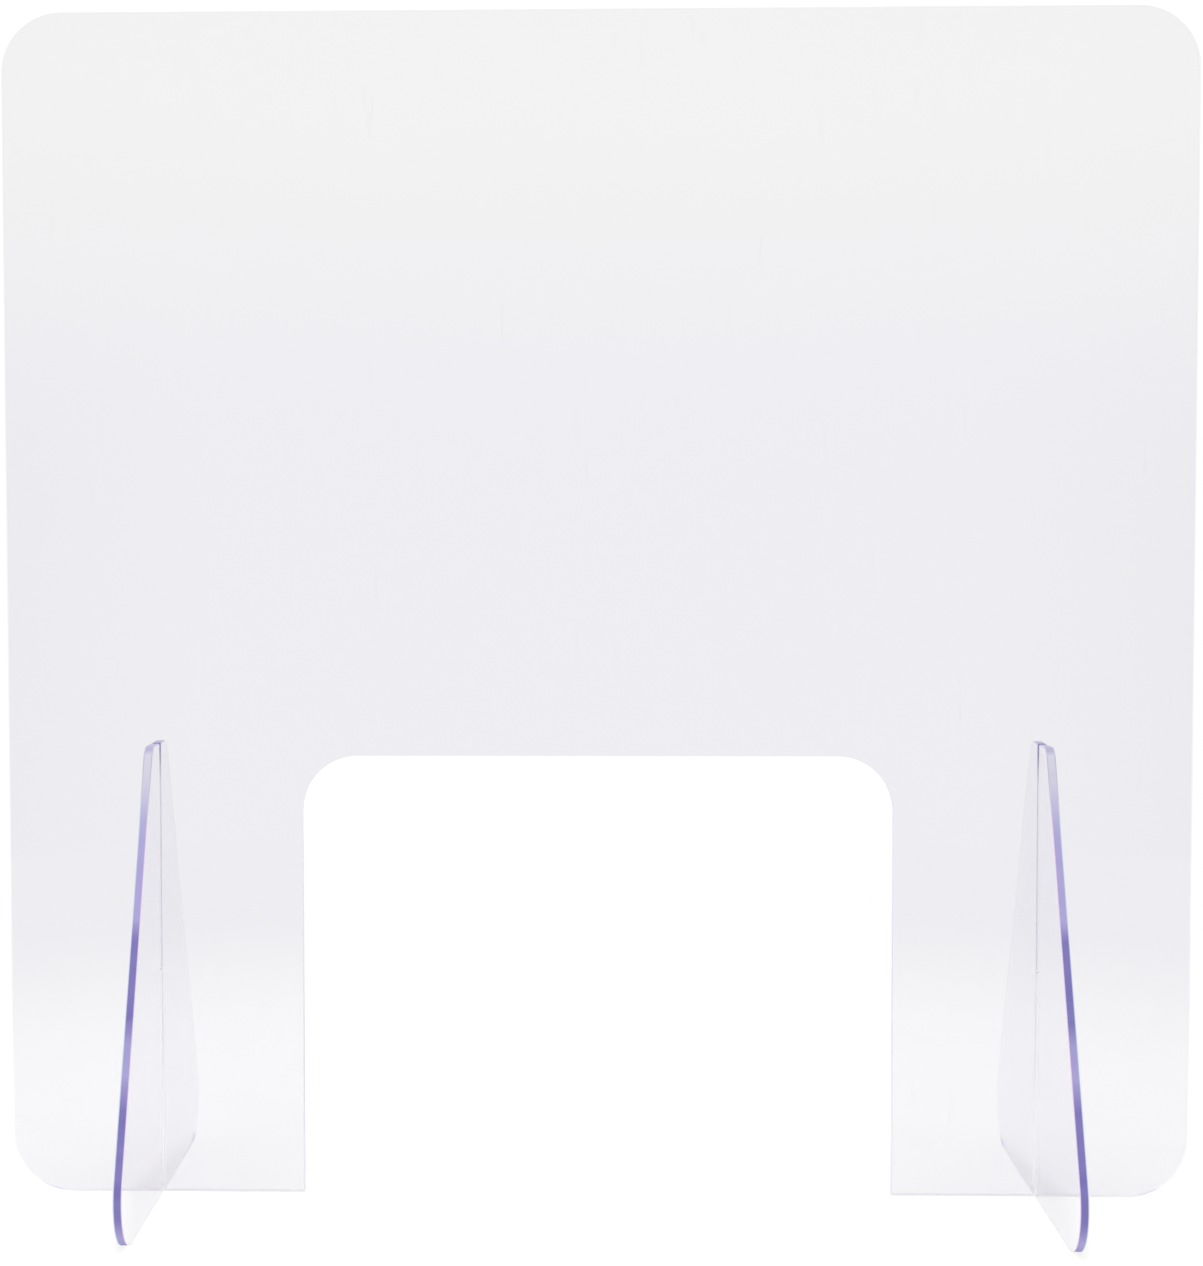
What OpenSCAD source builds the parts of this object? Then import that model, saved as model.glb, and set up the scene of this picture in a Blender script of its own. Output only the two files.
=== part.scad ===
// Free-standing counter sneeze guard: one clear sheet panel with a pass-through
// at the bottom edge, stood up by two feet that cross-lap with it in slots.
// Millimetres. X runs along the counter, +Y points away from the customer,
// Z is up, and the origin is on the counter under the middle of the panel.

/* [Sheet] */
// Thickness of the clear sheet that all three pieces are cut from
sheet_t = 4.5; // [3:0.5:6]
// Total play of a sheet in its slot
slot_play = 0.5; // [0.2:0.1:1]

/* [Panel] */
// Width of the panel
panel_w = 609.6; // [560:0.1:900]
// Height of the panel
panel_h = 609.6; // [400:0.1:900]
// Radius of the panel's four outer corners
panel_corner_r = 31; // [5:1:50]

/* [Pass-through] */
// Width of the opening at the bottom of the panel
pass_w = 304.8; // [150:0.1:380]
// Height of the opening, from the panel's bottom edge
pass_h = 228.6; // [100:0.1:300]
// Radius of the opening's two top corners
pass_corner_r = 29; // [5:1:50]

/* [Feet] */
// Distance between the middles of the two feet
foot_spacing = 457.2; // [330:0.1:540]
// Greatest depth of a foot, front to back
foot_depth = 228.6; // [210:0.1:300]
// Height of a foot
foot_h = 234.95; // [200:0.05:245]
// How far a foot's sloping sides lean in from upright, in degrees
foot_lean = 24.5; // [5:0.5:24.5]
// Radius of a foot's two bottom corners
foot_bottom_r = 25.4; // [10:0.1:30]
// Radius of a foot's two top corners
foot_top_r = 9.5; // [3:0.5:12]

/* [Cross-lap slots] */
// Length of the slot that runs down from the top of each foot
foot_slot = 117.475; // [80:0.005:150]

/* [Hidden] */
$fn = 96;
sheet_tint = [0.90, 0.90, 0.97, 0.45];
foot_tint = [0.78, 0.76, 0.94, 0.60];
cut_over = 5; // how far a cutting shape runs past the edge it opens
slot_w = sheet_t + slot_play;
// The panel and the feet all stand on the counter, so the two slots that meet
// are together as long as a foot is high.
panel_slot = foot_h - foot_slot;
// Each foot's side is tangent to its corner arcs.
bottom_arc_y = foot_depth / 2 - foot_bottom_r;
side_reach = bottom_arc_y * cos(foot_lean) + foot_bottom_r * (sin(foot_lean) + 1);
top_arc_z = foot_h - foot_top_r;
top_arc_y = (side_reach - foot_top_r - top_arc_z * sin(foot_lean)) / cos(foot_lean);

// Rectangle standing on y = 0, centred on x, with its two top corners rounded
module arch(w, h, r) {
    translate([-w / 2, 0]) square([w, h - r]);
    translate([-w / 2 + r, 0]) square([w - 2 * r, h]);
    for (side = [-1, 1])
        translate([side * (w / 2 - r), h - r]) circle(r);
}

module panel_outline() {
    translate([0, panel_h / 2]) {
        arch(panel_w, panel_h / 2, panel_corner_r);
        mirror([0, 1]) arch(panel_w, panel_h / 2, panel_corner_r);
    }
}

module panel() {
    color(sheet_tint)
        translate([0, sheet_t / 2, 0])
            rotate([90, 0, 0])
                linear_extrude(sheet_t)
                    difference() {
                        panel_outline();
                        translate([0, -cut_over])
                            arch(pass_w, pass_h + cut_over, pass_corner_r);
                        for (side = [-1, 1])
                            translate([side * foot_spacing / 2 - slot_w / 2, -cut_over])
                                square([slot_w, panel_slot + cut_over]);
                    }
}

// Point where a straight edge leaves an arc, from the arc's centre and radius
function on_arc(y, z, r, angle) = [y + r * cos(angle), z + r * sin(angle)];

// Front half of the foot's side view as straight edges between the arcs
function foot_half() = [
    [0, 0],
    on_arc(bottom_arc_y, foot_bottom_r, foot_bottom_r, -90),
    [bottom_arc_y, foot_bottom_r],
    on_arc(bottom_arc_y, foot_bottom_r, foot_bottom_r, foot_lean),
    on_arc(top_arc_y, top_arc_z, foot_top_r, foot_lean),
    [top_arc_y, top_arc_z],
    on_arc(top_arc_y, top_arc_z, foot_top_r, 90),
    [0, foot_h]
];

module foot_outline() {
    for (side = [0, 1])
        mirror([side, 0]) {
            polygon(foot_half());
            translate([bottom_arc_y, foot_bottom_r]) circle(foot_bottom_r);
            translate([top_arc_y, top_arc_z]) circle(foot_top_r);
        }
}

module foot(side) {
    color(foot_tint)
        translate([side * foot_spacing / 2 - sheet_t / 2, 0, 0])
            rotate([90, 0, 90])
                linear_extrude(sheet_t)
                    difference() {
                        foot_outline();
                        translate([-slot_w / 2, foot_h - foot_slot])
                            square([slot_w, foot_slot + cut_over]);
                    }
}

module left_foot() {
    foot(-1);
}

module right_foot() {
    foot(1);
}

panel();
left_foot();
right_foot();
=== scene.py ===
import math

import bmesh
import bpy
from mathutils import Euler, Matrix, Vector


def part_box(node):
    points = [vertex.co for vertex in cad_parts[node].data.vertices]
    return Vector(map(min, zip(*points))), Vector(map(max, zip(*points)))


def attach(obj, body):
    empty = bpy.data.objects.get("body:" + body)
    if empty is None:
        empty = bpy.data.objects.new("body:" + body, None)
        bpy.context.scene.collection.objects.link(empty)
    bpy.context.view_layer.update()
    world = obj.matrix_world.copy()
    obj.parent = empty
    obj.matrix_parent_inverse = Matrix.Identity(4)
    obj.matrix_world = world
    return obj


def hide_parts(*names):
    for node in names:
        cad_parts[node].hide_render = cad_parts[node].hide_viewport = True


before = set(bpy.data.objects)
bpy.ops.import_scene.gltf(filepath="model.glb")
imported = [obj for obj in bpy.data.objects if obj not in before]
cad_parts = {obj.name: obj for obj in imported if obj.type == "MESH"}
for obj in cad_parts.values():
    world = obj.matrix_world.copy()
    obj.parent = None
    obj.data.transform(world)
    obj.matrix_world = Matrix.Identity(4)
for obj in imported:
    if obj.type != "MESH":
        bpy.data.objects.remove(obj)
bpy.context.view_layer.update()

# ---------------------------------------------------------------- Panel
# One upright sheet of clear plastic, routed to a square with rounded corners. A pass-through is
# cut up from its bottom edge, and beside it a narrow slot on each side takes a foot.
# The faces keep the gloss of the extruded stock. The routed edges show the stock's violet tint.
sheet_low, sheet_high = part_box("panel")
panel_w = sheet_high.x - sheet_low.x
panel_h = sheet_high.z
sheet_t = sheet_high.y - sheet_low.y
panel_corner_r = 0.031
pass_w = 0.3048
pass_h = 0.2286
pass_corner_r = 0.029
slot_play = 0.0005
slot_w = sheet_t + slot_play
foot_low, foot_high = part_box("right_foot")
foot_x = (foot_low.x + foot_high.x) / 2
foot_h = foot_high.z
foot_slot = 0.117475
panel_slot = foot_h - foot_slot
eased_edge = 0.0005


def arc(across, up, radius, start, end):
    """Points of a round corner about (across, up), one every 3 degrees or so, both ends included."""
    steps = max(2, round(abs(end - start) / 3))
    turns = [math.radians(start + (end - start) * step / steps) for step in range(steps + 1)]
    return [(across + radius * math.cos(turn), up + radius * math.sin(turn)) for turn in turns]


def slot(middle, depth, mouth):
    """The three-sided path of a slot in from the mouth, walked so that the sheet is on the left."""
    side = slot_w / 2 if depth > mouth else -slot_w / 2
    return [(middle - side, mouth), (middle - side, depth), (middle + side, depth), (middle + side, mouth)]


def cut_sheet(name, outline, place):
    """A sheet cut to the outline, with both rims eased: faces take material 0, cut edges material 1."""
    sheet = bmesh.new()
    front = [sheet.verts.new(place(across, up, -sheet_t / 2)) for across, up in outline]
    back = [sheet.verts.new(place(across, up, sheet_t / 2)) for across, up in outline]
    flats = [sheet.faces.new(front), sheet.faces.new(back)]
    for here in range(len(outline)):
        ahead = (here + 1) % len(outline)
        wall = sheet.faces.new((front[here], front[ahead], back[ahead], back[here]))
        wall.material_index = 1
    rims = [edge for flat in flats for edge in flat.edges]
    eased = {"offset": eased_edge, "segments": 2, "profile": 0.5, "affect": "EDGES", "material": 1}
    bmesh.ops.bevel(sheet, geom=rims, **eased)
    bmesh.ops.recalc_face_normals(sheet, faces=sheet.faces)
    # Rounded stretches shade smoothly, and the borders of the flat faces stay crisp.
    for edge in sheet.edges:
        on_flat = any(face.material_index == 0 for face in edge.link_faces)
        edge.smooth = not on_flat and edge.calc_face_angle(math.pi) < math.radians(30)
    for face in sheet.faces:
        face.smooth = True
    mesh = bpy.data.meshes.new(name)
    sheet.to_mesh(mesh)
    sheet.free()
    piece = bpy.data.objects.new(name, mesh)
    bpy.context.scene.collection.objects.link(piece)
    return piece


class Wire:
    """A socket in a tree of shader nodes. Sums and products of wires add their Math nodes."""

    def __init__(self, tree, socket=None):
        self.tree = tree
        self.socket = socket

    def node(self, kind, settings=(), inputs=(), output=0):
        """A node of any kind: its settings first, then its sockets' values or wires. Gives one output."""
        made = self.tree.nodes.new("ShaderNode" + kind)
        for name, value in dict(settings).items():
            if name == "stops":
                ramp = made.color_ramp.elements
                ramp.remove(ramp[1])
                ramp[0].position, ramp[0].color = value[0]
                for place, colour in value[1:]:
                    ramp.new(place).color = colour
            else:
                setattr(made, name, value)
        for name, value in dict(inputs).items():
            if isinstance(value, Wire):
                self.tree.links.new(value.socket, made.inputs[name])
            else:
                made.inputs[name].default_value = value
        if made.outputs:
            return Wire(self.tree, made.outputs[output])

    def maths(self, operation, *values):
        return self.node("Math", {"operation": operation}, enumerate(values))

    def __add__(self, other):
        return self.maths("ADD", self, other)

    def __sub__(self, other):
        return self.maths("SUBTRACT", self, other)

    def __rsub__(self, other):
        return self.maths("SUBTRACT", other, self)

    def __mul__(self, other):
        return self.maths("MULTIPLY", self, other)

    def __abs__(self):
        return self.maths("ABSOLUTE", self)

    __radd__ = __add__
    __rmul__ = __mul__

    def rise(self, low, high, bottom=0.0, top=1.0):
        """A smooth step from bottom to top as this wire goes from low to high."""
        steps = {"From Min": low, "From Max": high, "To Min": bottom, "To Max": top, "Value": self}
        return self.node("MapRange", {"interpolation_type": "SMOOTHSTEP"}, steps)

    def either(self, other):
        return self.maths("MAXIMUM", self, other)

    def blend(self, share, first, second, how="MIX"):
        """Two shaders mixed by share, or two colours mixed or multiplied by share."""
        if isinstance(first, Wire) and first.socket.type == "SHADER":
            return self.node("MixShader", inputs={0: share, 1: first, 2: second})
        colours = {"data_type": "RGBA", "blend_type": how}
        return self.node("Mix", colours, {0: share, 6: first, 7: second}, output=2)

    def noise(self, spot, scale, detail=2.0, stretch=(1, 1, 1)):
        """Even noise from 0 to 1 over the piece, drawn out along an axis by a small stretch figure."""
        drawn = self.node("Mapping", inputs={"Vector": spot, "Scale": stretch})
        return self.node("TexNoise", inputs={"Vector": drawn, "Scale": scale, "Detail": detail})


def finish(name, build):
    """A material whose surface is the shader that build makes in its tree."""
    material = bpy.data.materials.new(name)
    material.use_nodes = True
    material.node_tree.nodes.clear()
    wire = Wire(material.node_tree)
    wire.node("OutputMaterial", inputs={"Surface": build(wire)})
    return material


def lit_through(wire, seen, window=0):
    """The plastic as seen, but light on its way to the counter passes straight on through it.
    Where window is 1, so does everything else."""
    lamp_light = wire.node("LightPath", output="Is Shadow Ray")
    room_light = wire.node("LightPath", output="Is Diffuse Ray")
    clear = wire.node("BsdfTransparent", inputs={"Color": (0.965, 0.963, 0.972, 1)})
    return wire.blend(lamp_light.either(room_light).either(window), seen, clear)


def clear_face(wire, tint, flow):
    """The glossy face of the stock: clear, with faint flow lines, a little haze and a few hair scuffs."""
    spot = wire.node("TexCoord", output="Object")
    lines = wire.noise(spot, 38, 3, flow)
    clouds = wire.noise(spot, 3.5, 2).rise(0.35, 0.75)
    scuffs = wire.noise(spot, 260, 5, (1, 1, 0.12)).rise(0.66, 0.8)
    ripple = wire.node("Bump", inputs={"Strength": 0.1, "Distance": 0.0002, "Height": lines})
    plastic = wire.node("BsdfPrincipled", inputs={
        "Base Color": tint,
        "Roughness": 0.01 + 0.1 * scuffs,
        "IOR": 1.58,
        "Transmission Weight": 1,
        "Normal": ripple,
    })
    film = wire.node("BsdfDiffuse", inputs={"Color": (0.80, 0.79, 0.86, 1)})
    hazy = wire.blend(0.006 + 0.01 * clouds + 0.03 * scuffs, plastic, film)
    return lit_through(wire, hazy)


def streaked(wire, spot, along, pale, deep_violet, pale_violet):
    """Violet plastic seen endwise: deep or pale by turns, with streaks left by the router."""
    streaks = wire.noise(spot, 95, 2, along)
    return wire.blend(pale + 0.35 * (streaks - 0.5), deep_violet, pale_violet)


def with_painted_rims(wire, across, split, violet, painted_rim_violet):
    """A violet with a painted highlight that pales it at both eased rims, and a painted colour fringe that
    leans it to pink at one rim and to blue at the other.
    across runs from -1 at one rim to 1 at the other, and split is how far the rims part in colour."""
    # Painted highlight: the violet pales towards both eased rims.
    rim_highlight = wire.blend(abs(across).rise(0.62, 0.96), violet, painted_rim_violet)
    # Painted colour fringe of refraction: pink at one rim, blue at the other.
    colour_fringe = wire.blend(across.rise(-1, 1), (1.07, 0.97, 1.00, 1), (0.95, 1.03, 1.00, 1))
    return wire.blend(split, rim_highlight, colour_fringe, "MULTIPLY")


def at_slot(off_middle):
    """1 on a slot's walls and their eased rims, and 0 further off the middle of the slot."""
    reach = slot_w / 2 + eased_edge
    return abs(off_middle).rise(reach, reach + 0.0002, 1, 0)


def cut_edge(wire, spot, along, colour, gone=0):
    """A routed edge with fine chatter marks along it, and a grey underside where it stands, painted as its
    contact shadow.
    From inside the sheet it is only a window, and so it is where gone, pressed against another sheet."""
    contact_shadow_grey = (0.82, 0.81, 0.84, 1)
    height = wire.node("SeparateXYZ", inputs={0: spot}, output="Z")
    # Painted contact shadow: the underside where the sheet stands is grey.
    underside = height.rise(0.0003, 0.0008, 1, 0)
    marks = wire.noise(spot, 900, 3, along)
    chatter = wire.node("Bump", inputs={"Strength": 0.5, "Distance": 0.00006, "Height": marks})
    body = wire.node("BsdfPrincipled", inputs={
        "Base Color": wire.blend(underside, colour, contact_shadow_grey),
        "Roughness": 0.28 + 0.2 * marks,
        "IOR": 1.58,
        "Normal": chatter,
    })
    inside = wire.node("NewGeometry", output="Backfacing") * height.rise(0.0003, 0.006)
    return lit_through(wire, body, inside.either(gone))


def panel_face(wire):
    return clear_face(wire, (0.850, 0.844, 0.877, 1), (0.05, 1, 1))


slot_grey = (0.93, 0.92, 0.94, 1)


def panel_edge(wire):
    """Pale violet all round, and almost colourless in the slots, where the feet press against it."""
    deep_violet = (0.58, 0.555, 0.77, 1)
    pale_violet = (0.74, 0.725, 0.86, 1)
    # Painted highlight colour of the eased rims.
    painted_rim_violet = (0.85, 0.84, 0.90, 1)
    spot = wire.node("TexCoord", output="Object")
    x = wire.node("SeparateXYZ", inputs={0: spot}, output="X")
    y = wire.node("SeparateXYZ", inputs={0: spot}, output="Y")
    z = wire.node("SeparateXYZ", inputs={0: spot}, output="Z")
    along = (1, 0.04, 1)
    pale = wire.noise(spot, 7, 1).rise(0.35, 0.6)
    violet = streaked(wire, spot, along, pale, deep_violet, pale_violet)
    edged = with_painted_rims(wire, y * (2 / sheet_t), 0.5, violet, painted_rim_violet)
    in_slot = at_slot(abs(x) - foot_x) * z.rise(panel_slot, panel_slot + 0.001, 1, 0)
    return cut_edge(wire, spot, along, wire.blend(in_slot, edged, slot_grey), 0.7 * in_slot)


left, right = -panel_w / 2, panel_w / 2
panel_outline = (
    arc(left + panel_corner_r, panel_corner_r, panel_corner_r, 180, 270)
    + slot(-foot_x, panel_slot, 0)
    + [(-pass_w / 2, 0)]
    + arc(-pass_w / 2 + pass_corner_r, pass_h - pass_corner_r, pass_corner_r, 180, 90)
    + arc(pass_w / 2 - pass_corner_r, pass_h - pass_corner_r, pass_corner_r, 90, 0)
    + [(pass_w / 2, 0)]
    + slot(foot_x, panel_slot, 0)
    + arc(right - panel_corner_r, panel_corner_r, panel_corner_r, 270, 360)
    + arc(right - panel_corner_r, panel_h - panel_corner_r, panel_corner_r, 0, 90)
    + arc(left + panel_corner_r, panel_h - panel_corner_r, panel_corner_r, 90, 180)
)
panel = cut_sheet("panel_sheet", panel_outline, lambda x, z, depth: (x, depth, z))
panel.data.materials.append(finish("clear panel face", panel_face))
panel.data.materials.append(finish("routed panel edge", panel_edge))
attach(panel, "panel")
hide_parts("panel")

# ---------------------------------------------------------------- Feet
# Two like feet cut from the same stock: a tapering upright with big rounded toes on the counter
# and a small flat top. A slot down from the top crosses the panel's slot, and nothing is glued.
# Each sloping side leans in by foot_lean degrees and runs tangent to the toe's and the crown's arcs.
foot_depth = foot_high.y - foot_low.y
foot_lean = 24.5
toe_r = 0.0254
crown_r = 0.0095
toe_y = foot_depth / 2 - toe_r
lean_cos = math.cos(math.radians(foot_lean))
lean_sin = math.sin(math.radians(foot_lean))
crown_z = foot_h - crown_r
crown_y = (toe_y * lean_cos + toe_r * (lean_sin + 1) - crown_r - crown_z * lean_sin) / lean_cos

foot_outline = (
    arc(toe_y, toe_r, toe_r, 270, 360 + foot_lean)
    + arc(crown_y, crown_z, crown_r, foot_lean, 90)
    + slot(0, foot_h - foot_slot, foot_h)
    + arc(-crown_y, crown_z, crown_r, 90, 180 - foot_lean)
    + arc(-toe_y, toe_r, toe_r, 180 - foot_lean, 270)
)


def foot_face(wire):
    return clear_face(wire, (0.925, 0.918, 0.948, 1), (1, 0.05, 1))


def foot_edge(wire):
    """Bands of deep and pale violet up a foot's edge, greyer and less split in colour round the crown.
    Each band is a share of the foot's height and how pale the edge is there."""
    bands = (
        (0.000, 0.00), (0.012, 0.10), (0.035, 0.70), (0.085, 0.10), (0.290, 0.10), (0.350, 0.85),
        (0.415, 0.75), (0.460, 0.05), (0.615, 0.12), (0.650, 0.90), (0.800, 1.00),
    )
    stops = [(share, (pale, pale, pale, 1)) for share, pale in bands]
    deep_violet = (0.165, 0.140, 0.450, 1)
    spot = wire.node("TexCoord", output="Object")
    x = wire.node("SeparateXYZ", inputs={0: spot}, output="X")
    y = wire.node("SeparateXYZ", inputs={0: spot}, output="Y")
    z = wire.node("SeparateXYZ", inputs={0: spot}, output="Z")
    height = z * (1 / foot_h)
    crown = height.rise(0.80, 0.97)
    flat_top = height.rise(0.980, 0.997)
    along = (0.04, 1, 1)
    in_slot = at_slot(y)
    slot_mouth = in_slot * height.rise(0.90, 0.985)
    pale = wire.node("ValToRGB", {"stops": stops}, {"Fac": height}) * (1 - slot_mouth)
    side_violet = wire.blend(crown, (0.400, 0.370, 0.680, 1), (0.66, 0.645, 0.76, 1))
    pale_violet = wire.blend(flat_top, side_violet, (0.40, 0.375, 0.57, 1))
    # Painted colour of the eased rims: a highlight on the sloping sides, darker round the crown.
    painted_rim_violet = wire.blend(crown, (0.83, 0.79, 0.93, 1), (0.50, 0.47, 0.62, 1))
    violet = streaked(wire, spot, along, pale, deep_violet, pale_violet)
    edged = with_painted_rims(wire, (abs(x) - foot_x) * (2 / sheet_t), 1 - 0.8 * crown, violet, painted_rim_violet)
    return cut_edge(wire, spot, along, wire.blend(in_slot - slot_mouth, edged, slot_grey))


foot_face_clear = finish("clear foot face", foot_face)
foot_edge_violet = finish("routed foot edge", foot_edge)
for body, side in (("left_foot", -1), ("right_foot", 1)):
    foot = cut_sheet(body + "_sheet", foot_outline, lambda y, z, depth: (side * foot_x + depth, y, z))
    foot.data.materials.append(foot_face_clear)
    foot.data.materials.append(foot_edge_violet)
    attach(foot, body)
    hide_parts(body)

# ---------------------------------------------------------------- Counter and studio
# The guard stands on a plain white counter that melts into an even white room.
# A wide softbox overhead and one in front lift the counter and leave only a breath of shadow.
# The counter lies a hair below the guard, so that no two surfaces share a plane.
counter_r = 1.3
counter_gap = 0.0003


def counter_top(wire):
    """Matt white near the guard, glowing as evenly as the room further out, and seen only from above.
    Each foot has a painted shadow beside it: a soft wedge on its outer side, longest in the middle, where
    the foot is tall."""
    painted_shadow_strength = 0.18
    wedge_taper = 0.158
    black = (0, 0, 0, 1)
    spot = wire.node("TexCoord", output="Object")
    outward = abs(wire.node("SeparateXYZ", inputs={0: spot}, output="X")) - foot_x
    lengthwise = abs(wire.node("SeparateXYZ", inputs={0: spot}, output="Y"))
    # Painted shadow: the base colour darkens in a soft wedge beside each foot.
    wedge_end = (outward + wedge_taper * lengthwise).rise(0.014, 0.026, painted_shadow_strength, 0)
    shade = outward.rise(-0.002, 0.002) * wedge_end * lengthwise.rise(0.09, 0.12, 1, 0)
    away = wire.node("VectorMath", {"operation": "LENGTH"}, {0: spot}, output="Value")
    far = away.rise(0.35, 0.9)
    matt_white = wire.blend(wire.noise(spot, 30, 4), (0.865, 0.865, 0.850, 1), (0.895, 0.895, 0.880, 1))
    top = wire.node("BsdfPrincipled", inputs={
        "Base Color": wire.blend(far.either(shade), matt_white, black),
        "Roughness": 0.9,
        "Specular IOR Level": 0,
        "Emission Color": wire.blend(far, black, (1, 1, 1, 1)),
        "Emission Strength": 1,
    })
    from_below = wire.node("NewGeometry", output="Backfacing")
    return wire.blend(from_below, top, wire.node("BsdfTransparent"))


counter_mesh = bmesh.new()
bmesh.ops.create_circle(counter_mesh, cap_ends=True, segments=96, radius=counter_r)
counter = bpy.data.objects.new("counter", bpy.data.meshes.new("counter"))
counter_mesh.to_mesh(counter.data)
counter_mesh.free()
counter.data.materials.append(finish("white counter", counter_top))
counter.location.z = -counter_gap
bpy.context.scene.collection.objects.link(counter)

# The backdrop seen behind the guard and through it grows a little brighter with height, and brighter
# still low in the middle. Gloss and shade see the studio, dimmer on the customer's side than overhead.
room = bpy.data.worlds.new("white room")
room.use_nodes = True
room.node_tree.nodes.clear()
wire = Wire(room.node_tree)
look = wire.node("TexCoord", output="Generated")
look_x = wire.node("SeparateXYZ", inputs={0: look}, output="X")
look_y = wire.node("SeparateXYZ", inputs={0: look}, output="Y")
look_z = wire.node("SeparateXYZ", inputs={0: look}, output="Z")
white = (1, 1, 1, 1)
wall_white = wire.blend(look_z.rise(0.05, 0.13), white, (1, 1, 0.97, 1))
middle_lift = abs(look_x).rise(0.15, 0.27, 0.03, 0) * look_z.rise(0, 0.10, 1, 0.3)
wall_level = 1.0 + look_z.rise(0, 0.17, 0, 0.072) + middle_lift
backdrop = wire.node("Background", inputs={"Color": wall_white, "Strength": wall_level})
studio_level = look_y.rise(-0.9, 0.3, 0.62, 1.0) + look_z.rise(0.1, 0.9, 0, 0.3)
studio = wire.node("Background", inputs={"Color": white, "Strength": studio_level})
straight = wire.node("LightPath", output="Is Camera Ray")
through = wire.node("LightPath", output="Is Transmission Ray")
wire.node("OutputWorld", inputs={"Surface": wire.blend(straight.either(through), studio, backdrop)})
bpy.context.scene.world = room
bpy.context.scene.view_settings.view_transform = "Standard"

aim = Vector((0, 0, 0.2))
for name, place, size, power in (
    ("overhead softbox", Vector((0.0, 0.3, 2.3)), 1.8, 8),
    ("front softbox", Vector((-1.3, -1.6, 1.9)), 1.2, 5),
):
    lamp = bpy.data.lights.new(name, "AREA")
    lamp.size = size
    lamp.energy = power
    softbox = bpy.data.objects.new(name, lamp)
    softbox.location = place
    softbox.rotation_euler = (aim - place).to_track_quat("-Z", "Y").to_euler()
    bpy.context.scene.collection.objects.link(softbox)

# ---------------------------------------------------------------- Camera
# Eye level a little above the pass-through, nearly square on and just left of the middle,
# with a long enough lens to keep the panel's sides almost parallel.
lens = bpy.data.cameras.new("eye")
lens.lens = 67.8
lens.sensor_width = 36
lens.shift_x = 0.0644
lens.shift_y = -0.0126
camera = bpy.data.objects.new("eye", lens)
tilt = Euler((math.radians(90 - 2.87), 0, math.radians(1.55))).to_matrix()
level = Matrix.Rotation(math.radians(-0.094), 3, "Z")
camera.matrix_world = Matrix.LocRotScale(Vector((-0.0065, -1.2264, 0.3618)), tilt @ level, None)
bpy.context.scene.collection.objects.link(camera)
bpy.context.scene.camera = camera
